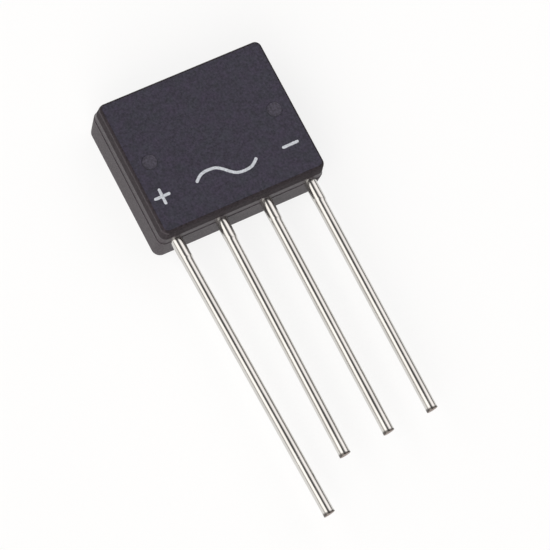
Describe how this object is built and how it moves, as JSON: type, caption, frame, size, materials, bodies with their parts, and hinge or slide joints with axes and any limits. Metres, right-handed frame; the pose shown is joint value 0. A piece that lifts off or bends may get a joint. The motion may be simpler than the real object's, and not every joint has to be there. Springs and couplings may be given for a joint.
{
  "type": "bridge rectifier",
  "caption": "Flat rectangular moulded body on a row of round wire leads that all leave one side, the outer positive lead longer than the rest.",
  "frame": {"origin": "centre of the flat back face that the part lies on", "axes": "+X across the body from the positive lead to the negative lead, +Y away from the leads, +Z out of the marked face"},
  "size_m": [0.0188, 0.0468, 0.0064],
  "materials": {
    "moulding_compound": "matte",
    "tinned_wire": "satin",
    "strap_copper": "satin",
    "silicon": "satin",
    "solder": "satin"
  },
  "bodies": {
    "root": {"moulded_body": "moulding_compound", "plus_lead": "tinned_wire", "ac_lead_left": "tinned_wire", "ac_lead_right": "tinned_wire", "minus_lead": "tinned_wire", "plus_strap": "strap_copper", "minus_strap": "strap_copper", "plus_die_left": "silicon", "plus_die_right": "silicon", "minus_die_left": "silicon", "minus_die_right": "silicon", "plus_die_left_base_solder": "solder", "plus_die_right_base_solder": "solder", "minus_die_left_base_solder": "solder", "minus_die_right_base_solder": "solder", "plus_die_left_top_solder": "solder", "plus_die_right_top_solder": "solder", "minus_die_left_top_solder": "solder", "minus_die_right_top_solder": "solder", "plus_foot_solder": "solder", "minus_foot_solder": "solder"}
  },
  "joints": []
}
